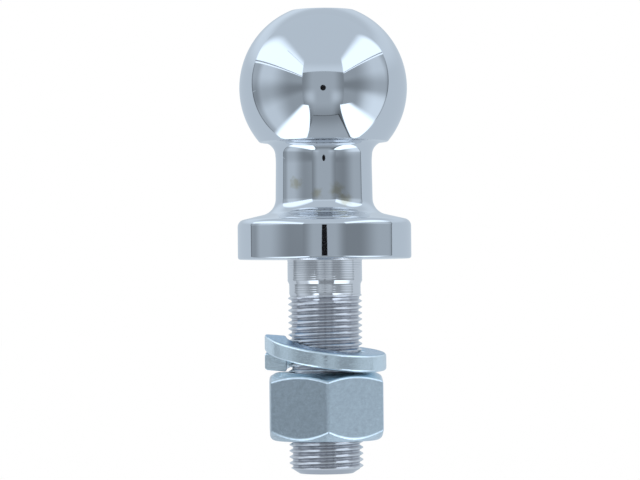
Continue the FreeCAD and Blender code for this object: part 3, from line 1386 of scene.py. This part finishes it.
@dataclass(frozen=True)
class SidePanels:
    """The grey panels at both sides, each brightening away from a dark middle."""

    level: float = 0.20
    far_gain: float = 0.165
    far_turns: Span = (45.0, 80.0)
    back_loss: float = 0.12
    back_turns: Span = (93.0, 106.0)
    dark_height: float = -0.09
    dark_height_right: float = 0.11
    spread_gain: float = 0.5
    spread: Span = (0.03, 0.32)
    foot_gain_right: float = 0.15
    foot_drop: Span = (0.05, 0.22)
    foot_turns: Span = (45.0, 65.0)

    def shade(self, gaze: Gaze) -> Sum:
        """The level of the panels.

        Args:
            gaze: Where the ray looks.

        Returns:
            The level.
        """
        panel = self.level + self.far_gain * gaze.turn.rise(*self.far_turns)
        panel = panel - self.back_loss * gaze.turn.rise(*self.back_turns)
        from_dark = abs(gaze.wall - self.dark_height - self.dark_height_right * gaze.right)
        panel = panel * (1 + self.spread_gain * from_dark.rise(*self.spread))
        foot = (-gaze.wall).rise(*self.foot_drop) * gaze.turn.rise(*self.foot_turns)
        return panel + self.foot_gain_right * gaze.right * foot


@dataclass(frozen=True)
class UpperLamps:
    """The two lamps above the panels, with a dark seam under each and one along the left one's top."""

    lit: float = 1.04
    unlit: float = 0.5
    low_edge: float = 0.46
    low_edge_right: float = 0.16
    high_edge: float = 1.04
    high_edge_right: float = 0.20
    fall: float = 1.8
    fall_right: float = 5.0
    fade_start: float = -0.10
    fade_end: float = 0.42
    bottom: Span = (-0.045, -0.03)
    bottom_seam: float = 0.72
    bottom_seam_width: Span = (0.006, 0.012)
    top_seam: float = 0.45
    top_seam_height: float = 1.05
    top_seam_width: Span = (0.004, 0.012)
    top_seam_turn: float = 46.0
    top_seam_reach: Span = (16.0, 6.0)

    def lay_on(self, panels: Sum, gaze: Gaze) -> Sum:
        """Hang the lamps over the panels.

        Args:
            panels: The panels' level.
            gaze: Where the ray looks.

        Returns:
            The level of the whole side.
        """
        over = gaze.wall - (self.low_edge + self.low_edge_right * gaze.right)
        behind = gaze.y.above(0.0)
        fall = (self.fall + self.fall_right * gaze.right) * behind * behind
        top = self.high_edge + self.high_edge_right * gaze.right - fall
        lamp = self.lit - (self.lit - self.unlit) * gaze.wall.rise(top + self.fade_start, top + self.fade_end)
        seam = gaze.wall.band(self.top_seam_height, *self.top_seam_width) * (1 - gaze.right)
        seam = seam * gaze.turn.band(self.top_seam_turn, *self.top_seam_reach)
        level = panels.fade_to(lamp * (1 - self.top_seam * seam), over.rise(*self.bottom))
        return level * (1 - self.bottom_seam * over.band(0.0, *self.bottom_seam_width))


@dataclass(frozen=True)
class LowerLamps:
    """The two lamps that lie beside the strip in front of the table."""

    lit: float = 1.2
    high_edge: float = -0.92
    high_edge_right: float = 0.28
    high_fade: Span = (-0.10, 0.12)
    inner_edge: float = 0.30
    inner_curve: float = 0.13
    inner_edge_right: float = 0.54
    inner_curve_right: float = 0.095
    inner_softness: float = 0.015
    front_edge: Span = (-1.9, -1.86)

    def lay_on(self, level: Sum, ahead: Sum, gaze: Gaze) -> Sum:
        """Lay the lamps down, with the front wall's cloth running on between them.

        Args:
            level: The level so far.
            ahead: The front wall's level.
            gaze: Where the ray looks.

        Returns:
            The level with the lamps.
        """
        squared = gaze.floor_y * gaze.floor_y
        left = self.inner_edge + self.inner_curve * squared
        right = self.inner_edge_right + self.inner_curve_right * squared
        inner = abs(gaze.floor_x) - left.fade_to(right, gaze.right)
        past_strip = inner.rise(-self.inner_softness, self.inner_softness)
        on_floor = gaze.below * gaze.floor_y.rise(*self.front_edge)
        under_edge = self.high_edge + self.high_edge_right * gaze.right - gaze.wall
        level = level.fade_to(self.lit, under_edge.rise(*self.high_fade) * on_floor * past_strip)
        return level.fade_to(ahead, on_floor * (1 - past_strip))


@dataclass(frozen=True)
class Table:
    """The grey table that the object stands over, with dark edges in front and on the right."""

    level: float = 0.22
    far_gain: float = 0.14
    far: Span = (-1.1, -0.3)
    front: float = -1.12
    front_softness: float = 0.01
    left: float = -0.33
    right: float = 0.535
    side_softness: float = 0.01
    front_line: float = 0.55
    right_line: float = 0.65
    line_width: Span = (0.012, 0.015)
    line_start: float = 0.02
    line_end: float = 0.03

    def lay_on(self, level: Sum, gaze: Gaze) -> Sum:
        """Set the table in.

        Args:
            level: The level so far.
            gaze: Where the ray looks.

        Returns:
            The level with the table.
        """
        across, along, below = gaze.floor_x, gaze.floor_y, gaze.below
        top = self.level + self.far_gain * along.rise(*self.far)
        inside = below * along.rise(self.front - self.front_softness, self.front + self.front_softness)
        inside = inside * (across - self.left).rise(-self.side_softness, self.side_softness)
        inside = inside * (1 - (across - self.right).rise(-self.side_softness, self.side_softness))
        level = level.fade_to(top, inside)
        reach = below * across.rise(self.left - self.line_start, self.left)
        reach = reach * (1 - across.rise(self.right, self.right + self.line_end))
        level = level * (1 - self.front_line * along.band(self.front, *self.line_width) * reach)
        side_line = across.band(self.right, *self.line_width) * below
        side_line = side_line * along.rise(self.front - self.line_end, self.front)
        return level * (1 - self.right_line * side_line)


@dataclass(frozen=True)
class OpenEnd:
    """The room seen past the tent's far rim, with a dark line along the rim."""

    level: float = 0.49
    start: float = 0.30
    start_slope_x: float = -0.12
    start_slope_z: float = 0.19
    softness: Span = (-0.006, 0.012)
    glow: float = 0.14
    glow_tilt: float = 30.0
    glow_width: Span = (2.0, 16.0)
    glow_loss_right: float = 0.4
    rim_line: float = 0.5
    rim_place: float = -0.012
    rim_width: Span = (0.006, 0.018)
    rim_tilt: float = -8.0
    rim_reach: Span = (20.0, 40.0)

    def lay_on(self, level: Sum, gaze: Gaze) -> Sum:
        """Open the tent at the back.

        Args:
            level: The level so far.
            gaze: Where the ray looks.

        Returns:
            The finished level.
        """
        outside = gaze.y - (self.start + self.start_slope_x * gaze.x + self.start_slope_z * gaze.z)
        room = gaze.tilt.band(self.glow_tilt, *self.glow_width) * (1 - self.glow_loss_right * gaze.right)
        level = level.fade_to(self.level + self.glow * room, outside.rise(*self.softness))
        rim = outside.band(self.rim_place, *self.rim_width)
        rim = rim * (1 - abs(gaze.tilt - self.rim_tilt).rise(*self.rim_reach))
        return level * (1 - self.rim_line * rim)


@dataclass
class Studio:
    """A light tent: a grey front wall, a panel on each side, two lamps above, two below and a table.

    Its levels are those that the chrome shows, where 1 is white.
    """

    floor_height: float = -90.0 * MM
    floor_size: float = 8.0
    lens_radius: float = 60.0 * MM
    lens_lift: float = 8.0 * MM
    lens_corners: int = 48
    chrome_shows: float = 0.76
    tint: Colour = (0.87, 1.0, 1.13, 1.0)
    corner_slope: float = 0.545
    corner_softness: float = 0.015
    front_wall: FrontWall = FrontWall()
    side_panels: SidePanels = SidePanels()
    upper_lamps: UpperLamps = UpperLamps()
    lower_lamps: LowerLamps = LowerLamps()
    table: Table = Table()
    open_end: OpenEnd = OpenEnd()

    def levels(self, bench: NodeBench) -> Sum:
        """The tent's brightness in every direction.

        Args:
            bench: The world's node bench.

        Returns:
            The level, where 1 shows as white in the chrome.
        """
        gaze = Gaze.of_ray(bench)
        ahead = self.front_wall.shade(gaze)
        sides = self.upper_lamps.lay_on(self.side_panels.shade(gaze), gaze)
        past_corner = gaze.side + self.corner_slope * gaze.y
        level = ahead.fade_to(sides, past_corner.rise(-self.corner_softness, self.corner_softness))
        level = self.lower_lamps.lay_on(level, ahead, gaze)
        level = self.table.lay_on(level, gaze)
        return self.open_end.lay_on(level, gaze)

    def light(self) -> None:
        """Build the world: white for the eye and for soft light, the tent's pattern in reflections."""
        world = bpy.data.worlds.new("light_tent")
        bpy.context.scene.world = world
        world.use_nodes = True
        world.cycles.sampling_method = "NONE"
        bench = NodeBench(world.node_tree)
        level = self.levels(bench)
        tent = bench.node(
            "ShaderNodeBackground", None, {"Color": self.tint, "Strength": level / self.chrome_shows}
        )
        white = bench.node("ShaderNodeBackground", None, {"Color": WHITE, "Strength": 1.0})
        glossy = bench.node("ShaderNodeLightPath", output="Is Glossy Ray")
        mixed = bench.node("ShaderNodeMixShader", None, {0: glossy, 1: white, 2: tent})
        bench.finish(mixed, "ShaderNodeOutputWorld")

    def lay_floor(self) -> None:
        """Lay a plain white floor below the nut's lowest place."""
        bpy.ops.object.select_all(action="DESELECT")
        bpy.ops.mesh.primitive_plane_add(size=self.floor_size, location=(0, 0, self.floor_height))
        floor = bpy.context.object
        floor.name = "floor"
        floor.visible_glossy = False
        floor.data.materials.append(matt("white_paper", WHITE))

    def hang_lens(self, camera: bpy.types.Object) -> None:
        """Put the dark disc of the lens where the chrome mirrors it, unseen by the camera itself.

        Args:
            camera: The photograph's camera.
        """
        bpy.ops.object.select_all(action="DESELECT")
        bpy.ops.mesh.primitive_circle_add(
            vertices=self.lens_corners,
            radius=self.lens_radius,
            fill_type="NGON",
            location=camera.matrix_world.translation + Vector((0, 0, self.lens_lift)),
            rotation=(math.radians(90), 0, 0),
        )
        lens = bpy.context.object
        lens.name = "lens"
        lens.visible_camera = lens.visible_diffuse = lens.visible_shadow = False
        lens.data.materials.append(matt("lens_black", LENS_BLACK))


def main() -> None:
    """Build the finishes, the pieces and the studio in order."""
    logging.basicConfig(level=logging.INFO, format="%(message)s")
    bpy.context.scene.view_settings.view_transform = "Standard"
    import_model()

    chrome = StainedChrome("polished_chrome", CHROME, roughness=0.04, mottle=0.02, mottle_scale=60.0)
    # The shank's chrome carries painted shade in the thread's grooves.
    shank = ThreadChrome("thread_chrome", SHANK_CHROME, roughness=0.12, mottle=0.05, mottle_scale=400.0)
    washer = {"roughness": 0.17, "mottle": 0.08, "mottle_scale": 300.0}
    washer_side = HandledZinc("washer_zinc", BRIGHT_ZINC, **washer, dull_and_shade=0.93)
    # The washer's upper faces: a darker, bluer copy of its zinc, as painted shade.
    washer_top_shade = HandledZinc("washer_zinc_top_shade", TOP_SHADE_ZINC, **washer, dull_and_shade=0.85)
    nut = {"roughness": 0.21, "mottle": 0.08, "mottle_scale": 250.0}
    # The nut's -X side is darkened by painted shade.
    nut_zinc = HandledZinc("nut_zinc", ZINC, **nut, dull_and_shade=0.73, shaded_side=0.7)

    BallStud().build(chrome.material(), shank.material())
    SpringWasher().build(washer_side.material(), washer_top_shade.material())
    HexNut().build(nut_zinc.material())

    camera = PhotoCamera().build()
    studio = Studio()
    studio.light()
    studio.lay_floor()
    studio.hang_lens(camera)


if __name__ == "__main__":
    main()
